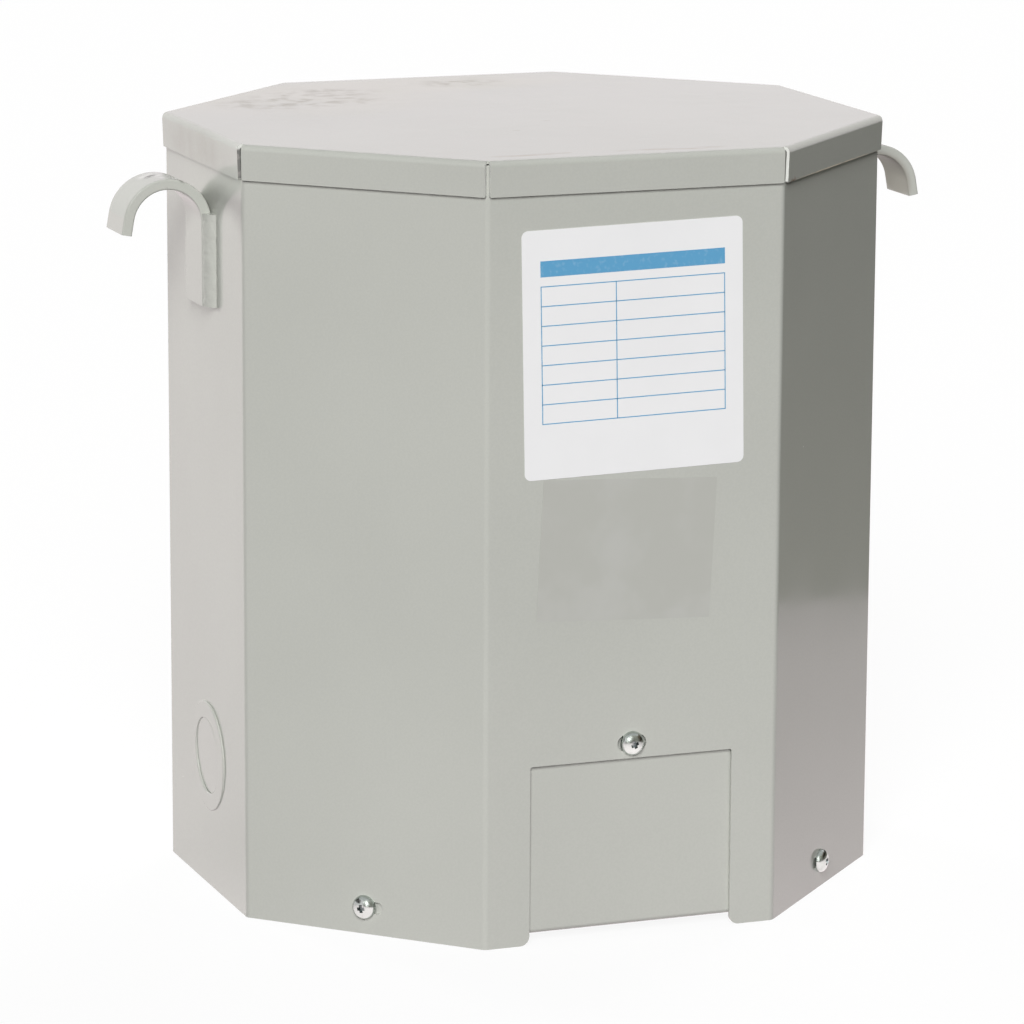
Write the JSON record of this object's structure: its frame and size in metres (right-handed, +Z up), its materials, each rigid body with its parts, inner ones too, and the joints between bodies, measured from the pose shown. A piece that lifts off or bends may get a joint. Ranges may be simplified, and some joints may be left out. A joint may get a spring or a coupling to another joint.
{
  "type": "general purpose transformer",
  "caption": "Dry transformer in an octagonal painted steel case with a flanged lid, side lifting hooks, conduit knockouts and a screwed wiring cover; stands on the floor.",
  "frame": {"origin": "on the floor under the middle of the case", "axes": "+Z up, -Y out of the front with the wiring opening, +X to the right seen from the front"},
  "size_m": [0.3878, 0.2848, 0.35],
  "materials": {
    "case_paint": "satin",
    "lid_paint": "satin",
    "hook_paint": "satin",
    "potting": "matte",
    "screw_zinc": "bright",
    "label_vinyl": "satin",
    "clear_film": "gloss"
  },
  "bodies": {
    "root": {"front_wrap": "case_paint", "rear_wrap": "case_paint", "wiring_cover": "case_paint", "left_knockout_ring": "case_paint", "left_knockout_disc": "case_paint", "right_knockout_ring": "case_paint", "right_knockout_disc": "case_paint", "lid": "lid_paint", "left_hook": "hook_paint", "right_hook": "hook_paint", "left_hook_front_weld": "hook_paint", "left_hook_rear_weld": "hook_paint", "right_hook_front_weld": "hook_paint", "right_hook_rear_weld": "hook_paint", "potted_core": "potting"}
  },
  "joints": []
}
